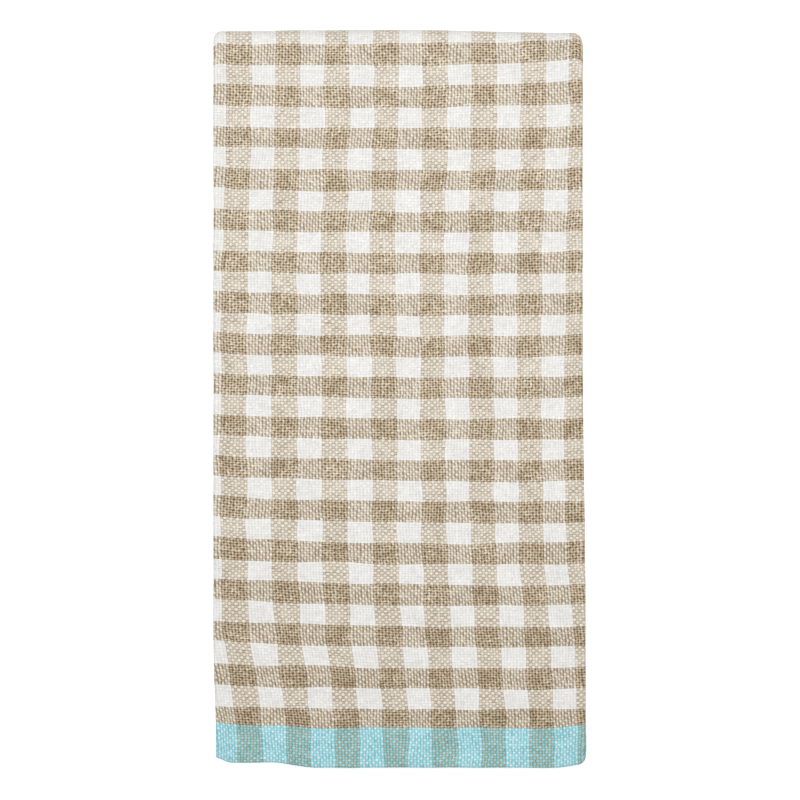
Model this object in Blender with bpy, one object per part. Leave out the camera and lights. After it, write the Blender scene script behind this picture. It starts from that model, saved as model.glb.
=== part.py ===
"""A tea towel of checked cloth, folded in thirds along its length, then in half, and laid flat.

The cut cloth is a flat slab with a thicker hem along each short end. Its two side flaps are
folded in behind the face panel, and the long strip that this makes is folded over at its middle.
The face panel is then outermost, above and below, and the flaps' selvedges lie inside.

Metres, +Z up. +X runs across the folded towel and +Y along it, towards the fold at its top.
The towel lies on the back half of the face panel. The origin is on the surface, under its middle.
"""

import math
from collections import namedtuple

import bmesh
import bpy
from mathutils import Vector

# The cut cloth
CLOTH_WIDTH = 0.508  # selvedge to selvedge
CLOTH_LENGTH = 0.711  # end to end
CLOTH_THICKNESS = 0.0011
HEM_DEPTH = 0.0100
HEM_THICKENING = 1.35  # a hem's thickness over the plain cloth's
HEM_NOSE = 0.0006  # length of the rounded turn at a hem's very end
HEM_NOSE_THICKENING = 0.80
HEM_STEP = 0.0015  # length over which a hem thins to the plain cloth

# The folded towel
FOLDED_WIDTH = 0.1772
FOLDED_LENGTH = 0.3535
LAYER_PITCH = 0.0015  # from one layer's middle to the next one's
HALVES_GAP = 0.0004  # between the front half's innermost layer and the back half's

# How the layers close up beside the flaps' selvedges, where a flap has ended
SIDE_SETTLING = 0.5  # of a layer's pitch, in each half
SETTLED = 0.0020  # fully closed up within this distance of a side
SETTLING_REACH = 0.0110

# How far the stack of layers swells over its flat height
TOP_FOLD_SWELL = 0.12
TOP_FOLD_REACH = 0.040
HEM_END_SWELL = 0.30
HEM_END_REACH = 0.045
UNEVEN_SWELL = 0.035  # slow rise and fall of the face between the folds
UNEVEN_LENGTH = 0.150
UNEVEN_WIDTH = 0.110

# The outline's unevenness, seen from above. A lean is how far a side moves to +X on its way down
LEFT_LEAN = 0.0014
LEFT_LEAN_START = 0.290  # from the top fold
LEFT_LEAN_END = 0.348
RIGHT_LEAN = 0.0014
RIGHT_LEAN_START = 0.155
RIGHT_LEAN_END = 0.290
TOP_LEFT_RADIUS = 0.0036
TOP_LEFT_DROP = 0.0006  # how far the top fold slopes down towards its left corner
TOP_LEFT_DROP_WIDTH = 0.045
TOP_RIGHT_RADIUS = 0.0048
TOP_RIGHT_DROP = 0.0013
TOP_RIGHT_DROP_WIDTH = 0.085
BOTTOM_LEFT_CUT = 0.0020  # how far the hem's left corner is drawn up
BOTTOM_LEFT_CUT_WIDTH = 0.0070
BOTTOM_LEFT_SWEEP = 0.0025  # and the stretch of hem next to it
BOTTOM_LEFT_SWEEP_START = 0.026
BOTTOM_LEFT_SWEEP_END = 0.049
BOTTOM_RIGHT_CUT = 0.0015
BOTTOM_RIGHT_CUT_WIDTH = 0.015
BOTTOM_RIGHT_RADIUS = 0.0038
OUTLINE_REACH = 0.035  # how far from an end its outline draws the cloth along

CLOTH_COLOUR = (0.66, 0.60, 0.51, 1.0)
CLOTH_ROUGHNESS = 0.92

HALF_WIDTH = FOLDED_WIDTH / 2
HALF_LENGTH = FOLDED_LENGTH / 2
FACE_DEPTH = CLOTH_THICKNESS / 2  # of the face panel's middle
THIRDS_HEIGHT = 2 * LAYER_PITCH + CLOTH_THICKNESS
TOP_FOLD_RADIUS = THIRDS_HEIGHT + HALVES_GAP / 2
LEFT_FOLD_RADIUS = LAYER_PITCH / 2  # the first flap lies next to the face
RIGHT_FOLD_RADIUS = LAYER_PITCH * (1 - SIDE_SETTLING / 2)  # the second flap lies over the first
LEFT_FOLD_X = LEFT_FOLD_RADIUS + FACE_DEPTH - HALF_WIDTH
RIGHT_FOLD_X = HALF_WIDTH - RIGHT_FOLD_RADIUS - FACE_DEPTH

FACE_WIDTH = RIGHT_FOLD_X - LEFT_FOLD_X
LEFT_FOLD_LENGTH = math.pi * LEFT_FOLD_RADIUS
RIGHT_FOLD_LENGTH = math.pi * RIGHT_FOLD_RADIUS
FLAP_WIDTH = (CLOTH_WIDTH - FACE_WIDTH - LEFT_FOLD_LENGTH - RIGHT_FOLD_LENGTH) / 2
MARGIN = 0.012  # the stretches beside the side folds, whose points are closer

FRONT_LENGTH = FOLDED_LENGTH - TOP_FOLD_RADIUS
TOP_FOLD_LENGTH = math.pi * TOP_FOLD_RADIUS
BACK_LENGTH = CLOTH_LENGTH - FRONT_LENGTH - TOP_FOLD_LENGTH
BACK_END_Y = HALF_LENGTH - TOP_FOLD_RADIUS - BACK_LENGTH
NEAR_HEM = HEM_DEPTH + HEM_STEP

Stretch = namedtuple("Stretch", "name length steps")

# Across the cloth, from the first flap's selvedge to the second flap's
ACROSS = (
    Stretch("first flap", FLAP_WIDTH - MARGIN, 5),
    Stretch("first flap's margin", MARGIN, 3),
    Stretch("left fold", LEFT_FOLD_LENGTH, 4),
    Stretch("face's left margin", MARGIN, 5),
    Stretch("face", FACE_WIDTH - 2 * MARGIN, 10),
    Stretch("face's right margin", MARGIN, 5),
    Stretch("right fold", RIGHT_FOLD_LENGTH, 5),
    Stretch("second flap's margin", MARGIN, 3),
    Stretch("second flap", FLAP_WIDTH - MARGIN, 5),
)
# Along the cloth, from the front hem's end to the back hem's
ALONG = (
    Stretch("front hem's nose", HEM_NOSE, 1),
    Stretch("front hem", HEM_DEPTH - HEM_NOSE, 2),
    Stretch("front hem's step", HEM_STEP, 1),
    Stretch("front", FRONT_LENGTH - NEAR_HEM, 12),
    Stretch("top fold", TOP_FOLD_LENGTH, 8),
    Stretch("back", BACK_LENGTH - NEAR_HEM, 10),
    Stretch("back hem's step", HEM_STEP, 1),
    Stretch("back hem", HEM_DEPTH - HEM_NOSE, 2),
    Stretch("back hem's nose", HEM_NOSE, 1),
)


def clear_scene():
    for obj in list(bpy.data.objects):
        bpy.data.objects.remove(obj, do_unlink=True)


def smooth_step(value, start, end):
    """0 at start and 1 at end, with level ends between them."""
    share = min(1.0, max(0.0, (value - start) / (end - start)))
    return share * share * (3 - 2 * share)


def stations(stretches):
    """Distances along the flat cloth at which it has a line of points."""
    found = [0.0]
    for stretch in stretches:
        start = found[-1]
        found += [start + stretch.length * (i + 1) / stretch.steps for i in range(stretch.steps)]
    return found


def settling(x):
    """How far each half's layers close up at x, beside the selvedge of the flap that ends there."""
    from_side = HALF_WIDTH - abs(x)
    return SIDE_SETTLING * LAYER_PITCH * (1 - smooth_step(from_side, SETTLED, SETTLING_REACH))


def thirds_fold(across):
    """(x, depth, outward x, outward depth) of the cloth's middle. Depth grows from the face inwards."""
    left_start = FLAP_WIDTH
    left_end = left_start + LEFT_FOLD_LENGTH
    right_start = left_end + FACE_WIDTH
    right_end = right_start + RIGHT_FOLD_LENGTH
    if across <= left_start:
        return LEFT_FOLD_X + left_start - across, FACE_DEPTH + LAYER_PITCH, 0.0, 1.0
    if across < left_end:
        turn = math.pi * (across - left_start) / LEFT_FOLD_LENGTH
        out_x, out_depth = -math.sin(turn), math.cos(turn)
        x = LEFT_FOLD_X + LEFT_FOLD_RADIUS * out_x
        return x, FACE_DEPTH + LEFT_FOLD_RADIUS * (1 + out_depth), out_x, out_depth
    if across <= right_start:
        return LEFT_FOLD_X + across - left_end, FACE_DEPTH, 0.0, -1.0
    if across < right_end:
        turn = math.pi * (across - right_start) / RIGHT_FOLD_LENGTH
        out_x, out_depth = math.sin(turn), -math.cos(turn)
        x = RIGHT_FOLD_X + RIGHT_FOLD_RADIUS * out_x
        return x, FACE_DEPTH + RIGHT_FOLD_RADIUS * (1 + out_depth), out_x, out_depth
    x = RIGHT_FOLD_X + right_end - across
    return x, FACE_DEPTH + 2 * LAYER_PITCH - settling(x), 0.0, 1.0


def half_fold(along, radius):
    """(y, outward y, outward z) of the line that the strip's layers are stacked from."""
    fold_end = FRONT_LENGTH + TOP_FOLD_LENGTH
    fold_y = HALF_LENGTH - radius
    if along <= FRONT_LENGTH:
        return -HALF_LENGTH + (fold_y + HALF_LENGTH) * along / FRONT_LENGTH, 0.0, 1.0
    if along < fold_end:
        turn = math.pi * (along - FRONT_LENGTH) / TOP_FOLD_LENGTH
        return fold_y, math.sin(turn), math.cos(turn)
    return fold_y + (BACK_END_Y - fold_y) * (along - fold_end) / BACK_LENGTH, 0.0, -1.0


def thickening(along):
    """The cloth's thickness over the plain cloth's: more in a hem, and less again at its end."""
    from_end = min(along, CLOTH_LENGTH - along)
    nose = smooth_step(from_end, 0.0, HEM_NOSE)
    hem = HEM_NOSE_THICKENING + (HEM_THICKENING - HEM_NOSE_THICKENING) * nose
    return hem + (1 - hem) * smooth_step(from_end, HEM_DEPTH, NEAR_HEM)


def swelling(x, y):
    """How far the stack of layers swells at a place, over its flat height."""
    top = smooth_step(y, HALF_LENGTH - TOP_FOLD_REACH, HALF_LENGTH)
    hem = smooth_step(-y, HALF_LENGTH - HEM_END_REACH, HALF_LENGTH - HEM_DEPTH)
    wave = math.sin(2 * math.pi * y / UNEVEN_LENGTH) * math.cos(2 * math.pi * x / UNEVEN_WIDTH)
    uneven = UNEVEN_SWELL * (1 + wave) / 2
    return 1 + TOP_FOLD_SWELL * top + HEM_END_SWELL * hem + uneven


def corner_cut(distance, radius):
    """How far a rounded corner lies inside its square one, at a distance from the side."""
    inside = min(radius, max(0.0, radius - distance))
    return radius - math.sqrt(radius * radius - inside * inside)


def top_outline(x):
    """How far the top fold's outline lies below its highest line."""
    from_left, from_right = HALF_WIDTH + x, HALF_WIDTH - x
    left_drop = TOP_LEFT_DROP * (1 - smooth_step(from_left, 0.0, TOP_LEFT_DROP_WIDTH))
    right_drop = TOP_RIGHT_DROP * (1 - smooth_step(from_right, 0.0, TOP_RIGHT_DROP_WIDTH))
    left_corner = corner_cut(from_left, TOP_LEFT_RADIUS)
    right_corner = corner_cut(from_right, TOP_RIGHT_RADIUS)
    return left_drop + left_corner + right_drop + right_corner


def bottom_outline(x):
    """How far the hem's outline lies above its lowest line."""
    from_left, from_right = HALF_WIDTH + x, HALF_WIDTH - x
    left_cut = BOTTOM_LEFT_CUT * (1 - smooth_step(from_left, 0.0, BOTTOM_LEFT_CUT_WIDTH))
    sweep = BOTTOM_LEFT_SWEEP * (1 - smooth_step(from_left, BOTTOM_LEFT_SWEEP_START, BOTTOM_LEFT_SWEEP_END))
    right_cut = BOTTOM_RIGHT_CUT * (1 - smooth_step(from_right, 0.0, BOTTOM_RIGHT_CUT_WIDTH))
    return left_cut + sweep + right_cut + corner_cut(from_right, BOTTOM_RIGHT_RADIUS)


def outlined(point):
    """A point of the square folded towel, moved to the outline that it really lies in."""
    x = min(HALF_WIDTH, max(-HALF_WIDTH, point.x))
    down = HALF_LENGTH - point.y
    left = LEFT_LEAN * smooth_step(down, LEFT_LEAN_START, LEFT_LEAN_END)
    right = RIGHT_LEAN * smooth_step(down, RIGHT_LEAN_START, RIGHT_LEAN_END)
    share = (HALF_WIDTH + x) / FOLDED_WIDTH
    near_top = smooth_step(point.y, HALF_LENGTH - OUTLINE_REACH, HALF_LENGTH)
    near_bottom = smooth_step(-point.y, HALF_LENGTH - OUTLINE_REACH, HALF_LENGTH)
    shift_y = bottom_outline(x) * near_bottom - top_outline(x) * near_top
    return Vector((point.x + left + (right - left) * share, point.y + shift_y, point.z))


def folded(across, along, side):
    """Where a point of the flat cloth lies. side is 0.5 on its right side and -0.5 on its wrong side."""
    x, depth, out_x, out_depth = thirds_fold(across)
    fold_radius = TOP_FOLD_RADIUS - settling(x)
    path_y, path_out_y, path_out_z = half_fold(along, fold_radius)
    radius = fold_radius - depth
    y = path_y + radius * path_out_y
    height = fold_radius + radius * path_out_z - FACE_DEPTH
    thick = CLOTH_THICKNESS * thickening(along)
    middle = Vector((x, y, thick / 2 + height * swelling(x, y)))
    outward = Vector((out_x, -out_depth * path_out_y, -out_depth * path_out_z))
    return outlined(middle + outward * thick * side)


def flat_slab(columns, rows):
    """A closed slab of unit cells: x is the column, y the row, and z is 0 or 1."""
    mesh = bmesh.new()
    bmesh.ops.create_grid(mesh, x_segments=columns, y_segments=rows, size=0.5)
    raised = bmesh.ops.extrude_face_region(mesh, geom=mesh.faces[:], use_keep_orig=True)
    top = [item for item in raised["geom"] if isinstance(item, bmesh.types.BMVert)]
    bmesh.ops.translate(mesh, verts=top, vec=(0, 0, 1))
    bmesh.ops.recalc_face_normals(mesh, faces=mesh.faces[:])
    for vert in mesh.verts:
        vert.co.x = round((vert.co.x + 0.5) * columns)
        vert.co.y = round((vert.co.y + 0.5) * rows)
    return mesh


def cloth_material():
    material = bpy.data.materials.new("checked_cloth")
    material.use_nodes = True
    shader = material.node_tree.nodes["Principled BSDF"]
    shader.inputs["Base Color"].default_value = CLOTH_COLOUR
    shader.inputs["Roughness"].default_value = CLOTH_ROUGHNESS
    shader.inputs["Metallic"].default_value = 0.0
    return material


def make_towel(collection):
    columns, rows = stations(ACROSS), stations(ALONG)
    slab = flat_slab(len(columns) - 1, len(rows) - 1)
    for vert in slab.verts:
        column, row, raised = (round(c) for c in vert.co)
        vert.co = folded(columns[column], rows[row], raised - 0.5)
    low = Vector([min(vert.co[axis] for vert in slab.verts) for axis in range(3)])
    high = Vector([max(vert.co[axis] for vert in slab.verts) for axis in range(3)])
    centre = Vector(((low.x + high.x) / 2, (low.y + high.y) / 2, 0.0))
    bmesh.ops.translate(slab, verts=slab.verts[:], vec=-centre)
    mesh = bpy.data.meshes.new("towel")
    slab.to_mesh(mesh)
    slab.free()
    mesh.shade_smooth()
    mesh.materials.append(cloth_material())
    towel = bpy.data.objects.new("towel", mesh)
    collection.objects.link(towel)
    return towel


def main():
    clear_scene()
    collection = bpy.data.collections.new("tea_towel")
    bpy.context.scene.collection.children.link(collection)
    make_towel(collection)


main()
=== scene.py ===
"""A tea towel of coarse plain-weave cloth in a white and taupe check, with an aqua band along each end.

The cloth is one thin sheet, hemmed along its short ends. It is folded in thirds along its length and
then in half, and lies flat with its front hem towards -Y and its top fold towards +Y.
Metres, +Z up. The origin is on the surface that the towel lies on, under its middle.
"""

import math
from collections import namedtuple

import bmesh
import bpy
from bpy.props import FloatProperty, FloatVectorProperty, PointerProperty
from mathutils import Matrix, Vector, noise


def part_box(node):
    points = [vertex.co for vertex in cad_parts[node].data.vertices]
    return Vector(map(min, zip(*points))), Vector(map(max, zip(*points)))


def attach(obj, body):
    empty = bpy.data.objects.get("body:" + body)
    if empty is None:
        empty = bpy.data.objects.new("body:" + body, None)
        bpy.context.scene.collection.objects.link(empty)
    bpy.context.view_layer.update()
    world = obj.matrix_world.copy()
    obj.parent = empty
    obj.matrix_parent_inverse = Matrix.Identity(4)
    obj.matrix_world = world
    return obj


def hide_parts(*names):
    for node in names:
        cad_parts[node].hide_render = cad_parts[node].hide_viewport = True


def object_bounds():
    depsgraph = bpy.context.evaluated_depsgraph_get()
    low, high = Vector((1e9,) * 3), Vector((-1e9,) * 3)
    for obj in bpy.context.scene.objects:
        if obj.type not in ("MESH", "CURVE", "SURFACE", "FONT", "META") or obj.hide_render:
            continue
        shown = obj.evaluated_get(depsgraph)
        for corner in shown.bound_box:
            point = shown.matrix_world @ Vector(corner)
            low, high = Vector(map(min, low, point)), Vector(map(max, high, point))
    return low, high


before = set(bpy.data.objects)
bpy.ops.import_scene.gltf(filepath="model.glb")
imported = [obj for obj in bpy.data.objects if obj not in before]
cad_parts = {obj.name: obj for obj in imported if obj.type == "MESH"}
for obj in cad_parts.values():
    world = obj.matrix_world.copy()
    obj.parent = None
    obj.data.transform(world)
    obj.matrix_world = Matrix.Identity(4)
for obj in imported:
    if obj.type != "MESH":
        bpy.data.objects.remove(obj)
CAD_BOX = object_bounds()

bl_info = {
    "name": "Tea Towel",
    "version": (1, 0, 0),
    "blender": (4, 5, 0),
    "location": "View3D > Sidebar > Tea Towel",
    "description": "A checked tea towel, folded in thirds and in half, and the studio it is shown in",
    "category": "Add Mesh",
}

# The hem's section
HEM_THICKENING = 1.35  # a hem's thickness over the plain cloth's
HEM_NOSE = 0.0006  # length of the rounded turn at a hem's very end
HEM_NOSE_THICKENING = 0.55  # the same at its very end
HEM_STEP = 0.0015  # length over which a hem thins to the plain cloth
SEAM_FROM_END = 0.0088  # the sewn line that holds the hem down
SEAM_WIDTH = 0.0009
SEAM_DEPTH = 0.00010

# How the layers close up beside the flaps' selvedges, where a flap has ended
SIDE_SETTLING = 0.5  # of a layer's pitch, in each half
SETTLED = 0.0020  # fully closed up within this distance of a side
SETTLING_REACH = 0.0110
CLOSER_POINTS = 0.001  # how far past the settling the cloth's points stay close together

# How far the stack of layers swells over its flat height
TOP_FOLD_SWELL = 0.12
TOP_FOLD_REACH = 0.040
HEM_END_SWELL = 0.30
HEM_END_REACH = 0.045
UNEVEN_SWELL = 0.035  # slow rise and fall of the face between the folds
UNEVEN_LENGTH = 0.150
UNEVEN_WIDTH = 0.110
RIPPLE = 0.035  # faster rise and fall, over the flat height
RIPPLE_LENGTH = 0.028
SIDE_WAVER = 0.00014  # how far a side fold wavers in and out
SIDE_WAVER_LENGTH = 0.011
SIDE_WAVER_REACH = 0.010
LEFT_SIDE_SEED = 1.5
RIGHT_SIDE_SEED = 7.5
END_WAVER = 0.00022  # how far the hem's end and the top fold waver
END_WAVER_LENGTH = 0.012
END_WAVER_REACH = 0.020
TOP_FOLD_SEED = 5.5
HEM_END_SEED = 1.5
NOISE_LEVEL = 0.5  # halfway between two levels of the noise's grid, clear of the points where it is zero

# The outline's unevenness, seen from above. A lean is how far a side moves to +X on its way down
LEFT_LEAN = 0.0014
LEFT_LEAN_START = 0.290  # from the top fold
LEFT_LEAN_END = 0.348
RIGHT_LEAN = 0.0014
RIGHT_LEAN_START = 0.155
RIGHT_LEAN_END = 0.290
TOP_LEFT_RADIUS = 0.0036
TOP_LEFT_DROP = 0.0006  # how far the top fold slopes down towards its left corner
TOP_LEFT_DROP_WIDTH = 0.045
TOP_RIGHT_RADIUS = 0.0048
TOP_RIGHT_DROP = 0.0013
TOP_RIGHT_DROP_WIDTH = 0.085
BOTTOM_LEFT_CUT = 0.0020  # how far the hem's left corner is drawn up
BOTTOM_LEFT_CUT_WIDTH = 0.0070
BOTTOM_LEFT_SWEEP = 0.0025  # and the stretch of hem next to it
BOTTOM_LEFT_SWEEP_START = 0.026
BOTTOM_LEFT_SWEEP_END = 0.049
BOTTOM_RIGHT_CUT = 0.0015
BOTTOM_RIGHT_CUT_WIDTH = 0.015
BOTTOM_RIGHT_RADIUS = 0.0038
OUTLINE_REACH = 0.035  # how far from an end its outline draws the cloth along

# How the yarns are drawn out of true on the front.
# A start, an end, a reach, or a place where something is full or fades is a distance from the top fold.
TOP_SHIFT = 0.0018  # how far the warp lies to +X at the top fold
TOP_SHIFT_START = 0.030
TOP_SHIFT_END = 0.125
HEM_SHIFT_LEFT = 0.0062  # how far it lies to +X at the hem
HEM_SHIFT_RIGHT = 0.0043
HEM_SHIFT_START = 0.230
HEM_SHIFT_DELAY = 0.055  # how much further down it starts at the left side
HEM_SHIFT_END = 0.350
BOW_SIDES = 0.0012  # how far it lies to -X at the sides, in the middle of the towel's length
BOW_MIDDLE = 0.0020  # and how much further to +X halfway across
BOW_START = 0.100
BOW_FULL = 0.180
BOW_FADE = 0.240
BOW_END = 0.300
RIGHT_RISE = 0.0045  # how far the weft turns up to the right at the top fold
RIGHT_RISE_REACH = 0.060
LEFT_RISE_TOP = 0.0006  # how far it turns up to the left at the top fold
LEFT_RISE = 0.0026  # and further down
LEFT_RISE_START = 0.090
LEFT_RISE_FULL = 0.270
LEFT_RISE_FADE = 0.290
MIDDLE_SAG = 0.0006  # how far it hangs down halfway across
BACK_DRAWN = -0.5  # past the top fold, the back is drawn this much as far, and the other way

# The weave
STRIPE_YARNS = 8  # ends or picks in each stripe of the check
FIRST_STRIPE = 3.5  # ends of white before the first taupe stripe
FIRST_PICK = 0.6  # how much of the first pick is turned under at the front end
FRONT_BAND = 16  # picks of aqua at the front end
BAND_EDGE = 7  # picks of taupe between a band and the check
CHECK_STRIPES = 65  # stripes of the check between the two ends' bands

# The map that the weave is baked on
BAKE_EDGE = 0.004  # strip of it round each side of the cloth, for the cloth's own edges
BAKE_EDGE_FILL = 0.8  # how much of that strip an edge takes up

# The studio
SENSOR_WIDTH = 36.0  # in millimetres
FLOOR_SIZE = 6.0
FLOOR_DROP = 0.0002  # keeps the floor clear of the towel's underside

WHITE = (1.0, 1.0, 1.0)
BLACK = (0.0, 0.0, 0.0)

Stretch = namedtuple("Stretch", "name length steps")


# Sizes and colours that a user may change

class TowelSizes(bpy.types.PropertyGroup):
    """The cut cloth and how tightly it is folded"""

    cloth_width: FloatProperty(
        name="Cloth width", description="Selvedge to selvedge, laid flat", default=0.508, unit="LENGTH"
    )
    cloth_length: FloatProperty(
        name="Cloth length", description="Hem to hem, laid flat", default=0.711, unit="LENGTH"
    )
    cloth_thickness: FloatProperty(
        name="Cloth thickness",
        description="Through one layer",
        default=0.0011,
        unit="LENGTH",
        precision=5,
    )
    hem_depth: FloatProperty(
        name="Hem depth",
        description="From the end to the hem's inner edge",
        default=0.010,
        unit="LENGTH",
        precision=4,
    )
    folded_width: FloatProperty(
        name="Folded width",
        description="Across the folded towel",
        default=0.1772,
        unit="LENGTH",
        precision=4,
    )
    folded_length: FloatProperty(
        name="Folded length",
        description="From the front hem to the top fold",
        default=0.3535,
        unit="LENGTH",
        precision=4,
    )
    layer_pitch: FloatProperty(
        name="Layer pitch",
        description="From one layer's middle to the next one's",
        default=0.0015,
        unit="LENGTH",
        precision=5,
    )
    halves_gap: FloatProperty(
        name="Gap between halves",
        description="Between the front half's innermost layer and the back half's",
        default=0.0004,
        unit="LENGTH",
        precision=5,
    )


class TowelWeave(bpy.types.PropertyGroup):
    """The yarns that the cloth is woven from"""

    end_pitch: FloatProperty(
        name="End pitch",
        description="From one warp yarn to the next",
        default=0.001469,
        unit="LENGTH",
        precision=6,
    )
    pick_pitch: FloatProperty(
        name="Pick pitch",
        description="From one weft yarn to the next",
        default=0.001244,
        unit="LENGTH",
        precision=6,
    )
    relief: FloatProperty(
        name="Weave relief",
        description="One unit of the yarns' heights, which go from -0.25 in a gap to about 1",
        default=0.00014,
        unit="LENGTH",
        precision=6,
    )
    white: FloatVectorProperty(
        name="White yarn", description="At its lightest", subtype="COLOR", default=(0.66, 0.653, 0.63)
    )
    taupe_warp: FloatVectorProperty(
        name="Taupe warp", description="At its lightest", subtype="COLOR", default=(0.628, 0.54, 0.42)
    )
    taupe_weft: FloatVectorProperty(
        name="Taupe weft", description="At its lightest", subtype="COLOR", default=(0.62, 0.527, 0.393)
    )
    aqua: FloatVectorProperty(
        name="Aqua yarn", description="At its lightest", subtype="COLOR", default=(0.248, 0.503, 0.558)
    )
    # The low colours are painted shade: where a yarn dips, it multiplies the crossing yarn's colour,
    # standing in for the shade between the yarns
    white_in_shade: FloatVectorProperty(
        name="White yarn, low",
        description="What it leaves of the crossing yarn's colour where it dips",
        subtype="COLOR",
        default=(0.80, 0.80, 0.80),
    )
    taupe_in_shade: FloatVectorProperty(
        name="Taupe yarn, low",
        description="What it leaves of the crossing yarn's colour where it dips",
        subtype="COLOR",
        default=(0.245, 0.177, 0.092),
    )
    aqua_in_shade: FloatVectorProperty(
        name="Aqua yarn, low",
        description="What it leaves of the crossing yarn's colour where it dips",
        subtype="COLOR",
        default=(0.10, 0.47, 0.56),
    )
    roughness: FloatProperty(
        name="Yarn roughness",
        description="Of the yarn's fibres",
        subtype="FACTOR",
        default=0.92,
        min=0.0,
        max=1.0,
    )


class TowelStudio(bpy.types.PropertyGroup):
    """The floor, light and camera that show the towel"""

    floor_colour: FloatVectorProperty(
        name="Floor colour", description="Plain and pale", subtype="COLOR", default=(0.98, 0.98, 0.98)
    )
    floor_glow: FloatProperty(
        name="Floor glow",
        description="How brightly the floor is lit from below, as on a light table",
        default=0.2,
    )
    lamp_power: FloatProperty(
        name="Lamp power", description="Of the large soft lamp overhead", default=24.0, unit="POWER"
    )
    lamp_size: FloatProperty(
        name="Lamp size", description="Side of the square lamp", default=1.1, unit="LENGTH"
    )
    lamp_height: FloatProperty(
        name="Lamp height", description="Above the floor", default=1.35, unit="LENGTH"
    )
    lamp_offset: FloatProperty(
        name="Lamp offset",
        description="Towards the top fold, from the towel's middle",
        default=0.05,
        unit="LENGTH",
    )
    ambient: FloatProperty(
        name="Ambient light", description="Strength of the even light from all round", default=0.34
    )
    lens: FloatProperty(
        name="Lens", description="The camera's focal length", default=200.0, unit="CAMERA"
    )
    view_width: FloatProperty(
        name="View width",
        description="What the camera takes in, halfway up the towel",
        default=0.38372,
        unit="LENGTH",
        precision=5,
    )
    view_x: FloatProperty(
        name="View centre X",
        description="Of the point that the camera looks down on",
        default=0.00012,
        unit="LENGTH",
        precision=5,
    )
    view_y: FloatProperty(
        name="View centre Y",
        description="Of the point that the camera looks down on",
        default=-0.00072,
        unit="LENGTH",
        precision=5,
    )


class TowelSettings(bpy.types.PropertyGroup):
    """Everything that a user may change"""

    sizes: PointerProperty(type=TowelSizes)
    weave: PointerProperty(type=TowelWeave)
    studio: PointerProperty(type=TowelStudio)


# The folds

def smooth_step(value, start, end):
    """0 at start and 1 at end, with level ends between them."""
    share = min(1.0, max(0.0, (value - start) / (end - start)))
    return share * share * (3 - 2 * share)


def waver(place, length, seed):
    """A smooth random curve from -1 to 1, whose bends are about length long."""
    return noise.noise(Vector((place / length, seed, NOISE_LEVEL)))


def corner_cut(distance, radius):
    """How far a rounded corner lies inside its square one, at a distance from the side."""
    inside = min(radius, max(0.0, radius - distance))
    return radius - math.sqrt(radius * radius - inside * inside)


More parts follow.
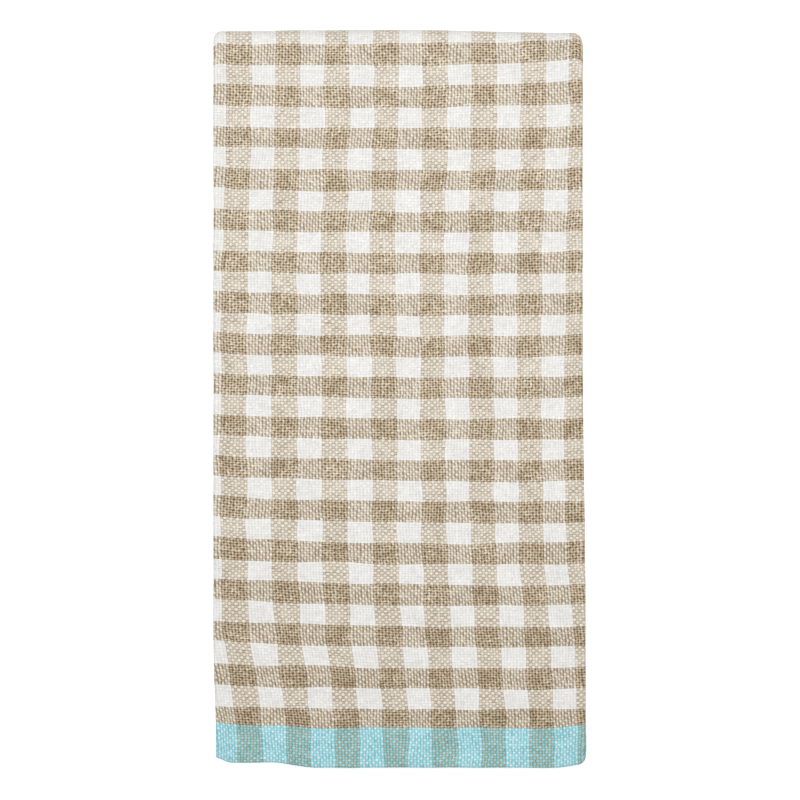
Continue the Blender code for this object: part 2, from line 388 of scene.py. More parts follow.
class Fold:
    """Where each point of the flat cloth lies once the towel is folded.

    across runs from the first flap's selvedge to the second flap's, and along from the front hem's
    end to the back hem's. The face panel is outermost, above and below, with the flaps inside."""

    def __init__(self, sizes):
        self.width, self.length = sizes.cloth_width, sizes.cloth_length
        self.thickness, self.hem_depth = sizes.cloth_thickness, sizes.hem_depth
        self.pitch = sizes.layer_pitch
        self.folded_width = sizes.folded_width
        self.half_width, self.half_length = sizes.folded_width / 2, sizes.folded_length / 2
        self.face_depth = self.thickness / 2
        self.top_radius = 2 * self.pitch + self.thickness + sizes.halves_gap / 2
        self.left_radius = self.pitch / 2
        self.right_radius = self.pitch * (1 - SIDE_SETTLING / 2)
        self.left_x = self.left_radius + self.face_depth - self.half_width
        self.right_x = self.half_width - self.right_radius - self.face_depth
        self.face_width = self.right_x - self.left_x
        self.left_turn = math.pi * self.left_radius
        self.right_turn = math.pi * self.right_radius
        self.flap_width = (self.width - self.face_width - self.left_turn - self.right_turn) / 2
        self.front_length = sizes.folded_length - self.top_radius
        self.top_turn = math.pi * self.top_radius
        self.back_length = self.length - self.front_length - self.top_turn
        self.back_end_y = self.half_length - self.top_radius - self.back_length

    def settling(self, x):
        """How far each half's layers close up at x, beside the selvedge of the flap that ends there."""
        from_side = self.half_width - abs(x)
        return SIDE_SETTLING * self.pitch * (1 - smooth_step(from_side, SETTLED, SETTLING_REACH))

    def thirds(self, across):
        """(x, depth, outward x, outward depth) of the cloth's middle. Depth is from the face inwards."""
        left_start = self.flap_width
        left_end = left_start + self.left_turn
        right_start = left_end + self.face_width
        right_end = right_start + self.right_turn
        if across <= left_start:
            return self.left_x + left_start - across, self.face_depth + self.pitch, 0.0, 1.0
        if across < left_end:
            turn = math.pi * (across - left_start) / self.left_turn
            out_x, out_depth = -math.sin(turn), math.cos(turn)
            depth = self.face_depth + self.left_radius * (1 + out_depth)
            return self.left_x + self.left_radius * out_x, depth, out_x, out_depth
        if across <= right_start:
            return self.left_x + across - left_end, self.face_depth, 0.0, -1.0
        if across < right_end:
            turn = math.pi * (across - right_start) / self.right_turn
            out_x, out_depth = math.sin(turn), -math.cos(turn)
            depth = self.face_depth + self.right_radius * (1 + out_depth)
            return self.right_x + self.right_radius * out_x, depth, out_x, out_depth
        x = self.right_x + right_end - across
        return x, self.face_depth + 2 * self.pitch - self.settling(x), 0.0, 1.0

    def half(self, along, radius):
        """(y, outward y, outward z) of the line that the strip's layers are stacked from."""
        fold_end = self.front_length + self.top_turn
        fold_y = self.half_length - radius
        if along <= self.front_length:
            share = along / self.front_length
            return -self.half_length + (fold_y + self.half_length) * share, 0.0, 1.0
        if along < fold_end:
            turn = math.pi * (along - self.front_length) / self.top_turn
            return fold_y, math.sin(turn), math.cos(turn)
        return fold_y + (self.back_end_y - fold_y) * (along - fold_end) / self.back_length, 0.0, -1.0

    def thickening(self, along):
        """The cloth's thickness over the plain cloth's: more in a hem, and less again at its end."""
        from_end = min(along, self.length - along)
        nose = smooth_step(from_end, 0.0, HEM_NOSE)
        hem = HEM_NOSE_THICKENING + (HEM_THICKENING - HEM_NOSE_THICKENING) * nose
        return hem + (1 - hem) * smooth_step(from_end, self.hem_depth, self.hem_depth + HEM_STEP)

    def seam(self, along):
        """How deep the sewn line draws the cloth in, on each of its sides."""
        from_seam = abs(min(along, self.length - along) - SEAM_FROM_END)
        return SEAM_DEPTH * (1 - smooth_step(from_seam, 0.0, SEAM_WIDTH))

    def swelling(self, x, y):
        """How far the stack of layers swells at a place, over its flat height."""
        top = smooth_step(y, self.half_length - TOP_FOLD_REACH, self.half_length)
        hem_start = self.half_length - HEM_END_REACH
        hem = smooth_step(-y, hem_start, self.half_length - self.hem_depth)
        wave = math.sin(2 * math.pi * y / UNEVEN_LENGTH) * math.cos(2 * math.pi * x / UNEVEN_WIDTH)
        uneven = UNEVEN_SWELL * (1 + wave) / 2
        ripple = RIPPLE * noise.noise(Vector((x / RIPPLE_LENGTH, y / RIPPLE_LENGTH, NOISE_LEVEL)))
        return 1 + TOP_FOLD_SWELL * top + HEM_END_SWELL * hem + uneven + ripple

    def top_outline(self, x):
        """How far the top fold's outline lies below its highest line."""
        from_left, from_right = self.half_width + x, self.half_width - x
        left_drop = TOP_LEFT_DROP * (1 - smooth_step(from_left, 0.0, TOP_LEFT_DROP_WIDTH))
        right_drop = TOP_RIGHT_DROP * (1 - smooth_step(from_right, 0.0, TOP_RIGHT_DROP_WIDTH))
        left_corner = corner_cut(from_left, TOP_LEFT_RADIUS)
        right_corner = corner_cut(from_right, TOP_RIGHT_RADIUS)
        return left_drop + left_corner + right_drop + right_corner

    def bottom_outline(self, x):
        """How far the hem's outline lies above its lowest line."""
        from_left, from_right = self.half_width + x, self.half_width - x
        left_cut = BOTTOM_LEFT_CUT * (1 - smooth_step(from_left, 0.0, BOTTOM_LEFT_CUT_WIDTH))
        sweep_level = smooth_step(from_left, BOTTOM_LEFT_SWEEP_START, BOTTOM_LEFT_SWEEP_END)
        sweep = BOTTOM_LEFT_SWEEP * (1 - sweep_level)
        right_cut = BOTTOM_RIGHT_CUT * (1 - smooth_step(from_right, 0.0, BOTTOM_RIGHT_CUT_WIDTH))
        return left_cut + sweep + right_cut + corner_cut(from_right, BOTTOM_RIGHT_RADIUS)

    def outlined(self, point):
        """A point of the square folded towel, moved to the uneven outline that it really lies in."""
        x = min(self.half_width, max(-self.half_width, point.x))
        down = self.half_length - point.y
        left = LEFT_LEAN * smooth_step(down, LEFT_LEAN_START, LEFT_LEAN_END)
        right = RIGHT_LEAN * smooth_step(down, RIGHT_LEAN_START, RIGHT_LEAN_END)
        left_side = self.near(-x, self.half_width, SIDE_WAVER_REACH) * SIDE_WAVER
        left += left_side * waver(down, SIDE_WAVER_LENGTH, LEFT_SIDE_SEED)
        right_side = self.near(x, self.half_width, SIDE_WAVER_REACH) * SIDE_WAVER
        right += right_side * waver(down, SIDE_WAVER_LENGTH, RIGHT_SIDE_SEED)
        share = (self.half_width + x) / self.folded_width
        bottom = self.bottom_outline(x) * self.near(-point.y, self.half_length, OUTLINE_REACH)
        top = self.top_outline(x) * self.near(point.y, self.half_length, OUTLINE_REACH)
        ends = self.near(abs(point.y), self.half_length, END_WAVER_REACH)
        seed = TOP_FOLD_SEED if point.y > 0 else HEM_END_SEED
        wave = END_WAVER * ends * waver(x, END_WAVER_LENGTH, seed)
        return Vector((point.x + left + (right - left) * share, point.y + bottom - top + wave, point.z))

    @staticmethod
    def near(place, end, reach):
        """1 at an end, and 0 from reach before it."""
        return smooth_step(place, end - reach, end)

    def place(self, across, along, side):
        """Where a point of the flat cloth lies. side is 0.5 on its right side and -0.5 on the other."""
        x, depth, out_x, out_depth = self.thirds(across)
        fold_radius = self.top_radius - self.settling(x)
        path_y, path_out_y, path_out_z = self.half(along, fold_radius)
        radius = fold_radius - depth
        y = path_y + radius * path_out_y
        height = fold_radius + radius * path_out_z - self.face_depth
        hemmed = self.thickness * self.thickening(along)
        thick = hemmed - 2 * self.seam(along)
        middle = Vector((x, y, hemmed / 2 + height * self.swelling(x, y)))
        outward = Vector((out_x, -out_depth * path_out_y, -out_depth * path_out_z))
        return self.outlined(middle + outward * thick * side)

    def drawn(self, across, along):
        """(shift, rise) of the yarns at a place: how far they are drawn out of true there."""
        share = (across - self.flap_width - self.left_turn) / self.face_width
        share = min(1.0, max(0.0, share))
        down = self.front_length + self.top_turn / 2 - along
        front = drawn_at(max(0.0, down), share)
        if down >= 0:
            return front
        back = drawn_at(-down, share)
        return [top + (far - top) * BACK_DRAWN for top, far in zip(front, back)]

    def stretches_across(self):
        """From the first flap's selvedge to the second flap's."""
        margin = SETTLING_REACH + CLOSER_POINTS
        return (
            Stretch("first flap", self.flap_width - margin, 24),
            Stretch("first flap's margin", margin, 6),
            Stretch("left fold", self.left_turn, 8),
            Stretch("face's left margin", margin, 12),
            Stretch("face", self.face_width - 2 * margin, 60),
            Stretch("face's right margin", margin, 12),
            Stretch("right fold", self.right_turn, 10),
            Stretch("second flap's margin", margin, 6),
            Stretch("second flap", self.flap_width - margin, 24),
        )

    def stretches_along(self):
        """From the front hem's end to the back hem's."""
        seam_start = SEAM_FROM_END - SEAM_WIDTH
        hem = self.hem_depth + HEM_STEP
        front_hem = (
            Stretch("hem's nose", HEM_NOSE, 4),
            Stretch("hem", seam_start - HEM_NOSE, 5),
            Stretch("sewn line", 2 * SEAM_WIDTH, 6),
            Stretch("hem's step", hem - seam_start - 2 * SEAM_WIDTH, 4),
        )
        main = (
            Stretch("front", self.front_length - hem, 120),
            Stretch("top fold", self.top_turn, 20),
            Stretch("back", self.back_length - hem, 100),
        )
        return front_hem + main + front_hem[::-1]


def drawn_at(down, share):
    """(shift, rise) of the front's yarns at a distance down from the top fold and a share across."""
    middle = 4 * share * (1 - share)
    bow = smooth_step(down, BOW_START, BOW_FULL) * (1 - smooth_step(down, BOW_FADE, BOW_END))
    hem_shift = HEM_SHIFT_LEFT + (HEM_SHIFT_RIGHT - HEM_SHIFT_LEFT) * share
    hem_start = HEM_SHIFT_START + HEM_SHIFT_DELAY * (1 - share) ** 3
    shift = TOP_SHIFT * (1 - smooth_step(down, TOP_SHIFT_START, TOP_SHIFT_END))
    shift += hem_shift * smooth_step(down, hem_start, HEM_SHIFT_END)
    shift += (BOW_MIDDLE * middle - BOW_SIDES) * bow
    left_level = smooth_step(down, LEFT_RISE_START, LEFT_RISE_FULL)
    left_rise = LEFT_RISE_TOP + (LEFT_RISE - LEFT_RISE_TOP) * left_level
    rise = left_rise * (1 - share) ** 2 - MIDDLE_SAG * middle
    rise *= 1 - smooth_step(down, LEFT_RISE_FADE, HEM_SHIFT_END)
    rise += RIGHT_RISE * share ** 3 * (1 - smooth_step(down, 0.0, RIGHT_RISE_REACH))
    return shift, rise


def stations(stretches):
    """Distances along the flat cloth at which it has a line of points."""
    found = [0.0]
    for stretch in stretches:
        start = found[-1]
        found += [start + stretch.length * (i + 1) / stretch.steps for i in range(stretch.steps)]
    return found


# The cloth

def flat_slab(columns, rows):
    """A closed slab of unit cells, and each vertex's (column, row, side) in it. Side is 0 or 1."""
    mesh = bmesh.new()
    bmesh.ops.create_grid(mesh, x_segments=columns, y_segments=rows, size=0.5)
    raised = bmesh.ops.extrude_face_region(mesh, geom=mesh.faces[:], use_keep_orig=True)
    top = [item for item in raised["geom"] if isinstance(item, bmesh.types.BMVert)]
    bmesh.ops.translate(mesh, verts=top, vec=(0, 0, 1))
    bmesh.ops.recalc_face_normals(mesh, faces=mesh.faces[:])
    mesh.verts.index_update()
    places = []
    for vert in mesh.verts:
        column, row = round((vert.co.x + 0.5) * columns), round((vert.co.y + 0.5) * rows)
        places.append((column, row, round(vert.co.z)))
    return mesh, places


def bake_place(face_places, place, columns, rows):
    """Where a face's corner lies on the bake map: right side on the left, wrong side on the right.

    The faces along the cloth's own edges lie in the strip round the right side."""
    column, row, side = place
    width, height = 0.5 - 2 * BAKE_EDGE, 1 - 2 * BAKE_EDGE
    sides = {corner[2] for corner in face_places}
    u = BAKE_EDGE + width * columns[column] / columns[-1]
    v = BAKE_EDGE + height * rows[row] / rows[-1]
    if sides == {0}:
        return u + 0.5, v
    if sides == {0, 1} and side == 0:
        if len({corner[0] for corner in face_places}) == 1:
            u += BAKE_EDGE * BAKE_EDGE_FILL * (1 if column else -1)
        else:
            v += BAKE_EDGE * BAKE_EDGE_FILL * (1 if row else -1)
    return u, v


def build_cloth(sizes, collection):
    """The whole cloth as one closed mesh, with a map for its weave and one for baking it."""
    fold = Fold(sizes)
    columns = stations(fold.stretches_across())
    rows = stations(fold.stretches_along())
    slab, places = flat_slab(len(columns) - 1, len(rows) - 1)
    weave_map = slab.loops.layers.uv.new("weave")
    bake_map = slab.loops.layers.uv.new("OFBake")
    yarn_places = {}
    for column, row, side in places:
        if side:
            shift, rise = fold.drawn(columns[column], rows[row])
            yarn_places[column, row] = (columns[column] - shift, rows[row] - rise)
    for face in slab.faces:
        corners = [places[loop.vert.index] for loop in face.loops]
        for loop, place in zip(face.loops, corners):
            loop[weave_map].uv = yarn_places[place[:2]]
            loop[bake_map].uv = bake_place(corners, place, columns, rows)
    for vert, (column, row, side) in zip(slab.verts, places):
        vert.co = fold.place(columns[column], rows[row], side - 0.5)
    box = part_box("towel")
    low = Vector([min(vert.co[axis] for vert in slab.verts) for axis in range(3)])
    high = Vector([max(vert.co[axis] for vert in slab.verts) for axis in range(3)])
    middle = (low + high) / 2 - (box[0] + box[1]) / 2
    bmesh.ops.translate(slab, verts=slab.verts[:], vec=(-middle.x, -middle.y, box[0].z - low.z))
    mesh = bpy.data.meshes.new("towel_cloth")
    slab.to_mesh(mesh)
    slab.free()
    mesh.shade_smooth()
    cloth = bpy.data.objects.new("towel_cloth", mesh)
    collection.objects.link(cloth)
    return cloth


# The weave

class Sums:
    """A material's nodes, added by calls that read like the sums they stand for."""

    def __init__(self, tree):
        self.tree = tree

    def add(self, kind, inputs=None, **settings):
        node = self.tree.nodes.new(kind)
        for name, value in settings.items():
            setattr(node, name, value)
        for name, value in (inputs or {}).items():
            self.feed(node.inputs[name], value)
        return node

    def feed(self, socket, value):
        if isinstance(value, bpy.types.NodeSocket):
            self.tree.links.new(value, socket)
        else:
            socket.default_value = value

    def math(self, operation, *values):
        node = self.add("ShaderNodeMath", operation=operation)
        for socket, value in zip(node.inputs, values):
            self.feed(socket, value)
        return node.outputs["Value"]

    def plus(self, a, b):
        return self.math("ADD", a, b)

    def minus(self, a, b):
        return self.math("SUBTRACT", a, b)

    def times(self, a, b):
        return self.math("MULTIPLY", a, b)

    def times_plus(self, a, b, c):
        return self.math("MULTIPLY_ADD", a, b, c)

    def blend(self, share, first, second):
        """A number between two."""
        node = self.add("ShaderNodeMix", data_type="FLOAT")
        for socket, value in zip(node.inputs[:1] + node.inputs[2:4], (share, first, second)):
            self.feed(socket, value)
        return node.outputs[0]

    def tint(self, share, first, second, blend_type="MIX"):
        """A colour between two, or a blend of the second on the first."""
        node = self.add("ShaderNodeMix", data_type="RGBA", blend_type=blend_type)
        self.feed(node.inputs["Factor"], share)
        self.feed(node.inputs[6], first)
        self.feed(node.inputs[7], second)
        return node.outputs[2]

    def power(self, colour, power):
        """A colour raised to a power."""
        return self.add("ShaderNodeGamma", {"Color": colour, "Gamma": power}).outputs["Color"]

    def cloud(self, x, y):
        """Smooth noise about zero, from about -0.5 to 0.5, over two coordinates."""
        place = self.add("ShaderNodeCombineXYZ", {"X": x, "Y": y}).outputs["Vector"]
        inputs = {"Vector": place, "Scale": 1.0, "Detail": 0.0}
        texture = self.add("ShaderNodeTexNoise", inputs, noise_dimensions="2D")
        return self.minus(texture.outputs["Fac"], 0.5)


def rgba(colour):
    return (*colour, 1.0)


# How a plain weave's yarns lie. Widths and lengths are in yarn pitches, heights in units of the relief
YARN_WAVE = 0.5  # how far a yarn goes over and under
YARN_ROUND = 0.5  # how far its middle stands over its sides
WARP_HALF_WIDTH = 0.355
WHITE_WARP_HALF_WIDTH = 0.365
WEFT_HALF_WIDTH = 0.37
WHITE_WEFT_HALF_WIDTH = 0.56
AQUA_WEFT_HALF_WIDTH = 0.75  # its picks are beaten so close that they overlap
YARN_SWELL = 0.70  # how much a yarn thickens and thins along its length
YARN_SWELL_LENGTH = 2.2
YARN_STRAY = 0.42  # how far a yarn strays from its course
YARN_STRAY_LENGTH = 3.0
YARN_LEAN = 0.085  # how far its twist makes a yarn lean to each side as it passes over and under
FULL_LEAN = 0.012  # and the same at the fuller white and aqua weft, which leaves less room
WHITE_WARP_LEAN = 0.5  # the white warp's lean over the taupe's
COURSE_STRAY = 1.1  # how far neighbouring yarns stray together
ENDS_COURSE = (0.11, 0.07)  # how fast that changes for the ends, over each end and each pick
PICKS_COURSE = (0.06, 0.12)  # and for the picks
WHITE_WEFT_LIFT = 0.04  # how much higher the warp lies among white weft
WHITE_BAND_SINK = 0.06  # how much lower the white warp lies in an aqua band
TAUPE_BAND_SINK = 0.18  # and the taupe warp
TWIST_RELIEF = 0.05  # how far the twist's turns stand out
TWISTS = 2.3  # turns of the yarn's twist in each crossing
TWIST_SLANT = 1.6  # how far a turn runs on, in radians, from the yarn's middle to its side
NO_YARN = -3.0  # takes the height beside a yarn far below any yarn
GAP_FLOOR = -0.25  # height of the gaps
GAP_BELOW = -1.25  # a place with nothing higher than this is a gap

# What the yarns' noise starts from, so that no two uses of it are alike
YARN_SPACING = 17.3  # between neighbouring yarns
ENDS_SEED = 3.1
PICKS_SEED = 211.6
TONE_SEED = 0.37
STRAY_SEED = 0.71

# How the yarns are shaded; the shade between and below the yarns is painted into their colour. A tone is
# a power that the colour is raised to, so a higher one is darker
TONE = 0.95  # how much a yarn's tone changes along it
TONE_LENGTH = 3.0  # pitches over which it changes
FAIR_TONE = 0.45  # how much a white yarn's changes, and each yarn's in an aqua band
PATCH = 0.33  # how much whole patches of cloth differ in tone, beside a yarn's own change
PATCH_LENGTH = 9.0
HEM_PAINTED_SHADE = 0.22  # painted shade: how much deeper the check's tones are painted at a hem than at the top fold, for the light falling off there
TAUPE_HEM_PAINTED_SHADE = 0.12  # and how much more painted shade darkens its taupe yarns there besides
SHADE_FROM = 1.0  # height at which a yarn is at its lightest
SHADE_BELOW = 0.0  # and at its darkest
SHADE_CURVE = 0.65  # under 1, so a yarn darkens fastest just below its top
SHADE = 0.94  # how far a yarn goes to its painted-shade colour as it dips
UNDER_SHADE = 0.35  # how far the crossing yarn's colour beside it goes to its painted-shade one too
FUZZ = 0.09  # how much of the crossing yarn's colour spreads on to a yarn
GAP_SHADE = 0.5  # how much light a gap between yarns loses besides
GAP_POWER = 0.5  # turns the product of two yarns' painted-shade colours into their mean
YARN_SPECULAR = 0.15
YARN_SHEEN = 0.12
SHEEN_ROUGHNESS = 0.5


def yarn(sums, position, index, crossing, half_width, lean, seed):
    """(height, tone) of one set of yarns at a place, without the yarns' wave.

    position counts the yarns up to the place, and crossing the yarns that cross them. index is the
    yarn that the place is on."""
    noise_row = sums.times_plus(index, YARN_SPACING, seed)
    swell = sums.cloud(noise_row, sums.times(crossing, 1 / YARN_SWELL_LENGTH))
    tone = sums.cloud(sums.plus(noise_row, TONE_SEED), sums.times(crossing, 1 / TONE_LENGTH))
    stray = sums.cloud(sums.plus(noise_row, STRAY_SEED), sums.times(crossing, 1 / YARN_STRAY_LENGTH))
    across = sums.minus(sums.minus(position, index), 0.5)
    across = sums.times_plus(stray, YARN_STRAY, across)
    swing = sums.math("COSINE", sums.times(sums.plus(crossing, index), math.pi))
    across = sums.minus(across, sums.times(swing, lean))
    width = sums.times(half_width, sums.times_plus(swell, YARN_SWELL, 1.0))
    share = sums.math("DIVIDE", across, width)
    inside = sums.minus(1.0, sums.times(share, share))
    section = sums.math("SQRT", sums.math("MAXIMUM", inside, 0.0))
    missing = sums.times(sums.math("LESS_THAN", inside, 0.0), NO_YARN)
    height = sums.times_plus(section, YARN_ROUND, missing)
    slant = sums.times_plus(share, TWIST_SLANT, sums.times(crossing, TWISTS * 2 * math.pi))
    twist = sums.times(sums.math("SINE", slant), TWIST_RELIEF)
    return sums.plus(height, twist), tone


def yarn_wave(sums, crossing, index, sign):
    """How high a yarn lies as it goes over one crossing yarn and under the next."""
    turn = sums.times(sums.plus(crossing, index), math.pi)
    return sums.times(sums.math("SINE", turn), sign * YARN_WAVE)


def odd_stripe(sums, index, first):
    """1 in every other stripe of the check, and 0 in the rest."""
    stripe = sums.math("FLOOR", sums.times(sums.minus(index, first), 1 / STRIPE_YARNS))
    return sums.math("FLOORED_MODULO", stripe, 2.0)


def band_places(sums, pick):
    """1 in the aqua bands, and 1 from an end to the inner side of the taupe stripe beside its band.

    A pick is a whole number, so it is set against numbers halfway between two."""
    check_end = FRONT_BAND + BAND_EDGE + CHECK_STRIPES * STRIPE_YARNS
    in_band = sums.plus(
        sums.math("LESS_THAN", pick, FRONT_BAND - 0.5),
        sums.math("GREATER_THAN", pick, check_end + BAND_EDGE - 0.5),
    )
    in_edge = sums.plus(
        sums.math("LESS_THAN", pick, FRONT_BAND + BAND_EDGE - 0.5),
        sums.math("GREATER_THAN", pick, check_end - 0.5),
    )
    return in_band, in_edge


def cloth_material(weave, half_length):
    """The whole weave, worked out yarn by yarn from a place on the flat cloth."""
    material = bpy.data.materials.new("checked_cloth")
    material.use_nodes = True
    sums = Sums(material.node_tree)
    shader = material.node_tree.nodes["Principled BSDF"]
    place = sums.add("ShaderNodeUVMap", uv_map="weave").outputs["UV"]
    flat = sums.add("ShaderNodeSeparateXYZ", {"Vector": place}).outputs

    # The count of the ends and of the picks up to the place
    ends = sums.times_plus(flat["X"], 1 / weave.end_pitch, -FIRST_STRIPE)
    picks = sums.times_plus(flat["Y"], 1 / weave.pick_pitch, FIRST_PICK)
    stray = sums.cloud(sums.times(ends, ENDS_COURSE[0]), sums.times(picks, ENDS_COURSE[1]))
    ends = sums.times_plus(stray, COURSE_STRAY, ends)
    stray = sums.cloud(sums.times(ends, PICKS_COURSE[0]), sums.times(picks, PICKS_COURSE[1]))
    picks = sums.times_plus(stray, COURSE_STRAY, picks)

    # Which end and pick cross there, and which of them lies on top
    end, pick = sums.math("FLOOR", ends), sums.math("FLOOR", picks)
    white_end = odd_stripe(sums, end, 0.0)
    in_band, in_edge = band_places(sums, pick)
    taupe_pick = odd_stripe(sums, pick, FRONT_BAND + BAND_EDGE)
    white_pick = sums.minus(1.0, sums.math("MAXIMUM", taupe_pick, in_edge))
    end_width = sums.blend(white_end, WARP_HALF_WIDTH, WHITE_WARP_HALF_WIDTH)
    pick_width = sums.blend(white_pick, WEFT_HALF_WIDTH, WHITE_WEFT_HALF_WIDTH)
    pick_width = sums.blend(in_band, pick_width, AQUA_WEFT_HALF_WIDTH)
    lean = sums.blend(sums.math("MAXIMUM", white_pick, in_band), YARN_LEAN, FULL_LEAN)
    end_lean = sums.times(lean, sums.times_plus(white_end, WHITE_WARP_LEAN - 1.0, 1.0))
    end_height, end_tone = yarn(sums, ends, end, picks, end_width, end_lean, ENDS_SEED)
    pick_height, pick_tone = yarn(sums, picks, pick, ends, pick_width, lean, PICKS_SEED)
    end_height = sums.plus(end_height, yarn_wave(sums, picks, end, 1))
    sink = sums.blend(white_end, TAUPE_BAND_SINK, WHITE_BAND_SINK)
    lift = sums.minus(sums.times(white_pick, WHITE_WEFT_LIFT), sums.times(in_band, sink))
    end_height = sums.plus(end_height, lift)
    pick_height = sums.plus(pick_height, yarn_wave(sums, ends, pick, -1))
    warp_shows = sums.math("GREATER_THAN", end_height, pick_height)
    highest = sums.math("MAXIMUM", end_height, pick_height)
    height = sums.math("MAXIMUM", highest, GAP_FLOOR)
    gap_shows = sums.math("LESS_THAN", highest, GAP_BELOW)

    def colours(white, taupe_warp, taupe_weft, aqua):
        """(of the end, of the pick) at a place."""
        of_end = sums.tint(white_end, rgba(taupe_warp), rgba(white))
        of_pick = sums.tint(white_pick, rgba(taupe_weft), rgba(white))
        return of_end, sums.tint(in_band, of_pick, rgba(aqua))

    # The colour of the yarn on top, from its light one to a painted-shade one where it dips over the
    # yarn below
    end_light, pick_light = colours(weave.white, weave.taupe_warp, weave.taupe_weft, weave.aqua)
    end_in_shade, pick_in_shade = colours(weave.white_in_shade, weave.taupe_in_shade, weave.taupe_in_shade, weave.aqua_in_shade)
    dip = sums.math("DIVIDE", sums.minus(SHADE_FROM, height), SHADE_FROM - SHADE_BELOW)
    dip = sums.math("MINIMUM", sums.math("MAXIMUM", dip, 0.0), 1.0)
    dip = sums.times(sums.math("POWER", dip, SHADE_CURVE), SHADE)
    light = sums.tint(warp_shows, pick_light, end_light)
    under = sums.tint(warp_shows, end_light, pick_light)
    light = sums.tint(FUZZ, light, under)
    under = sums.tint(UNDER_SHADE, under, sums.tint(warp_shows, end_in_shade, pick_in_shade))
    in_shade = sums.tint(1.0, sums.tint(warp_shows, pick_in_shade, end_in_shade), under, blend_type="MULTIPLY")

    # How its tone changes along the yarn and over the cloth, the painted shade that deepens it towards
    # the hems, and the gaps' painted shade
    from_fold = sums.times_plus(flat["Y"], 1 / half_length, -1.0)
    near_hem = sums.times(sums.times(from_fold, from_fold), sums.minus(1.0, in_band))
    white_shows = sums.blend(warp_shows, white_pick, white_end)
    # painted shade: the taupe yarns darken towards the hems, where the light falls off
    hem_painted_shade = sums.times(near_hem, sums.blend(white_shows, TAUPE_HEM_PAINTED_SHADE, 0.0))
    unevenness = sums.blend(sums.math("MAXIMUM", white_shows, in_band), TONE, FAIR_TONE)
    patch = sums.cloud(sums.times(ends, 1 / PATCH_LENGTH), sums.times(picks, 1 / PATCH_LENGTH))
    tone = sums.times_plus(patch, PATCH, sums.blend(warp_shows, pick_tone, end_tone))
    tone = sums.times_plus(tone, unevenness, sums.times_plus(near_hem, HEM_PAINTED_SHADE, 1.0))
    shaded = sums.power(sums.tint(dip, light, in_shade), tone)
    # painted shade: a gap between the yarns is coloured dark, for the shaded cloth beneath it
    gap_painted_shade = sums.tint(1.0, end_in_shade, pick_in_shade, blend_type="MULTIPLY")
    gap_painted_shade = sums.tint(GAP_SHADE, sums.power(gap_painted_shade, GAP_POWER), rgba(BLACK))
    colour = sums.tint(hem_painted_shade, sums.tint(gap_shows, shaded, gap_painted_shade), rgba(BLACK))
    sums.feed(shader.inputs["Base Color"], colour)
    relief = sums.add("ShaderNodeBump", {"Strength": 1.0, "Distance": weave.relief, "Height": height})
    sums.feed(shader.inputs["Normal"], relief.outputs["Normal"])
    shader.inputs["Roughness"].default_value = weave.roughness
    shader.inputs["Specular IOR Level"].default_value = YARN_SPECULAR
    shader.inputs["Sheen Weight"].default_value = YARN_SHEEN
    shader.inputs["Sheen Roughness"].default_value = SHEEN_ROUGHNESS
    return material


# The studio

def floor_material(colour, glow):
    material = bpy.data.materials.new("pale_floor")
    material.use_nodes = True
    shader = material.node_tree.nodes["Principled BSDF"]
    shader.inputs["Base Color"].default_value = rgba(colour)
    shader.inputs["Roughness"].default_value = 1.0
    shader.inputs["Specular IOR Level"].default_value = 0.0
    shader.inputs["Emission Color"].default_value = rgba(colour)
    shader.inputs["Emission Strength"].default_value = glow
    return material


def build_floor(studio, collection):
    mesh = bpy.data.meshes.new("studio_floor")
    plane = bmesh.new()
    bmesh.ops.create_grid(plane, x_segments=1, y_segments=1, size=FLOOR_SIZE / 2)
    plane.to_mesh(mesh)
    plane.free()
    mesh.materials.append(floor_material(studio.floor_colour, studio.floor_glow))
    floor = bpy.data.objects.new("studio_floor", mesh)
    floor.location.z = CAD_BOX[0].z - FLOOR_DROP
    collection.objects.link(floor)


def build_lamp(studio, collection):
    light = bpy.data.lights.new("overhead_lamp", "AREA")
    light.size = studio.lamp_size
    light.energy = studio.lamp_power
    lamp = bpy.data.objects.new("overhead_lamp", light)
    lamp.location = (0.0, studio.lamp_offset, studio.lamp_height)
    lamp.rotation_euler = (-math.atan2(studio.lamp_offset, studio.lamp_height), 0.0, 0.0)
    collection.objects.link(lamp)
    world = bpy.data.worlds.new("soft_surround")
    world.use_nodes = True
    background = world.node_tree.nodes["Background"]
    background.inputs["Color"].default_value = rgba(WHITE)
    background.inputs["Strength"].default_value = studio.ambient
    bpy.context.scene.world = world


def build_camera(studio, collection):
    lens = bpy.data.cameras.new("overhead_camera")
    lens.lens = studio.lens
    lens.sensor_width = SENSOR_WIDTH
    camera = bpy.data.objects.new("overhead_camera", lens)
    distance = studio.view_width * studio.lens / SENSOR_WIDTH
    middle_height = (CAD_BOX[0].z + CAD_BOX[1].z) / 2
    camera.location = (studio.view_x, studio.view_y, middle_height + distance)
    collection.objects.link(camera)
    bpy.context.scene.camera = camera


# The add-on

def towel_collection(name):
    collection = bpy.data.collections.get(name)
    if collection is None:
        collection = bpy.data.collections.new(name)
        bpy.context.scene.collection.children.link(collection)
    return collection


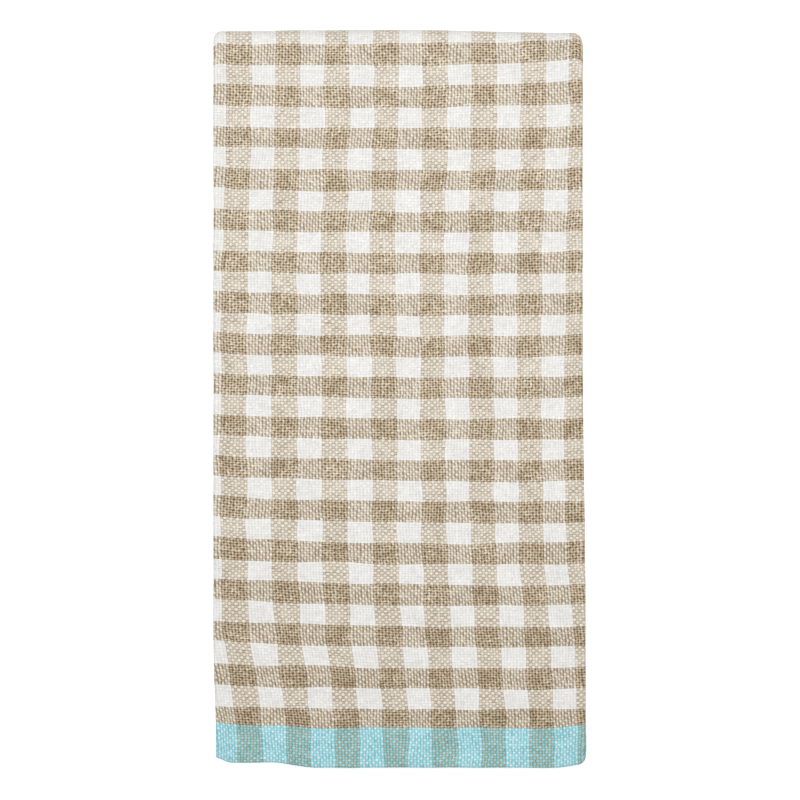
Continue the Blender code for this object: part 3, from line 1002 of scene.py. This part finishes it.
class TOWEL_OT_cloth(bpy.types.Operator):
    """Fold the checked cloth and weave its check and bands"""

    bl_idname = "towel.cloth"
    bl_label = "Folded Cloth"

    def execute(self, context):
        settings = context.scene.tea_towel
        cloth = build_cloth(settings.sizes, towel_collection("tea_towel"))
        cloth.data.materials.append(cloth_material(settings.weave, settings.sizes.cloth_length / 2))
        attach(cloth, "root")
        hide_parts("towel")
        return {"FINISHED"}


class TOWEL_OT_stage(bpy.types.Operator):
    """Lay the pale floor, hang the soft lamp and set the camera above the towel"""

    bl_idname = "towel.stage"
    bl_label = "Studio"

    def execute(self, context):
        studio = context.scene.tea_towel.studio
        collection = towel_collection("studio")
        build_floor(studio, collection)
        build_lamp(studio, collection)
        build_camera(studio, collection)
        context.scene.view_settings.view_transform = "Standard"
        return {"FINISHED"}


class TOWEL_PT_panel(bpy.types.Panel):
    """The towel's settings and the steps that make it"""

    bl_idname = "TOWEL_PT_panel"
    bl_label = "Tea Towel"
    bl_space_type = "VIEW_3D"
    bl_region_type = "UI"
    bl_category = "Tea Towel"

    def draw(self, context):
        settings = context.scene.tea_towel
        steps = (("Cloth", settings.sizes, TOWEL_OT_cloth), ("Weave", settings.weave, None),
                 ("Studio", settings.studio, TOWEL_OT_stage))
        for title, group, operator in steps:
            box = self.layout.box()
            box.label(text=title)
            for name in group.__annotations__:
                box.prop(group, name)
            if operator is not None:
                box.operator(operator.bl_idname)


CLASSES = (
    TowelSizes,
    TowelWeave,
    TowelStudio,
    TowelSettings,
    TOWEL_OT_cloth,
    TOWEL_OT_stage,
    TOWEL_PT_panel,
)


def register():
    for cls in CLASSES:
        bpy.utils.register_class(cls)
    bpy.types.Scene.tea_towel = PointerProperty(type=TowelSettings)


def unregister():
    del bpy.types.Scene.tea_towel
    for cls in reversed(CLASSES):
        bpy.utils.unregister_class(cls)


def write_sizes():
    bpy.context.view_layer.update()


def main():
    register()
    bpy.ops.towel.cloth()
    bpy.ops.towel.stage()
    write_sizes()


if __name__ == "__main__":
    main()
